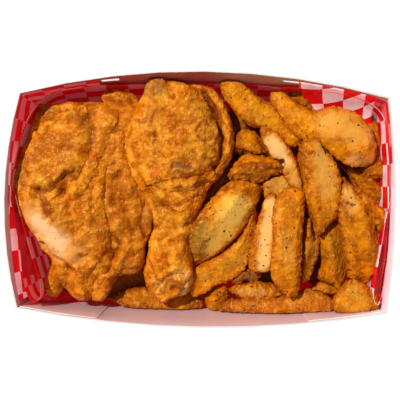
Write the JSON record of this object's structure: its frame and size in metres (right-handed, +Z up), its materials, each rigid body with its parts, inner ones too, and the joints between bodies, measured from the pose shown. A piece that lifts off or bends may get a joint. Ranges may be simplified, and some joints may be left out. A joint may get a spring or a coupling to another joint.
{
  "type": "fried chicken and potato wedges in a paper tray",
  "caption": "Fried chicken pieces and seasoned potato wedges heaped in an open paperboard tray lined with red and white checked paper.",
  "frame": {"origin": "middle of the tray's outer box, at table height", "axes": "+X along the tray's length, to the right as seen from the front, +Y towards the back wall, +Z up"},
  "size_m": [0.2436, 0.1596, 0.066],
  "materials": {
    "board": "white coated paperboard, glossy",
    "paper": "waxed paper with red and white checks, glossy",
    "chicken": "fried breaded skin, golden brown, slightly oily",
    "potato": "fried seasoned potato, golden orange, slightly oily"
  },
  "bodies": {
    "root": {"tray": "board", "liner": "paper", "chicken_leg": "chicken", "chicken_breast": "chicken", "chicken_wing": "chicken", "chicken_back": "chicken", "wedge_01": "potato", "wedge_02": "potato", "wedge_03": "potato", "wedge_04": "potato", "wedge_05": "potato", "wedge_06": "potato", "wedge_07": "potato", "wedge_08": "potato", "wedge_09": "potato", "wedge_10": "potato", "wedge_11": "potato", "wedge_12": "potato", "wedge_13": "potato", "wedge_14": "potato", "wedge_15": "potato", "wedge_16": "potato", "wedge_17": "potato", "wedge_18": "potato", "wedge_19": "potato", "wedge_20": "potato", "wedge_21": "potato", "wedge_22": "potato", "wedge_23": "potato", "wedge_24": "potato", "wedge_25": "potato", "wedge_26": "potato", "wedge_27": "potato", "wedge_28": "potato", "wedge_29": "potato", "wedge_30": "potato", "wedge_31": "potato", "wedge_32": "potato", "wedge_33": "potato", "wedge_34": "potato", "wedge_35": "potato", "wedge_36": "potato"}
  },
  "joints": []
}
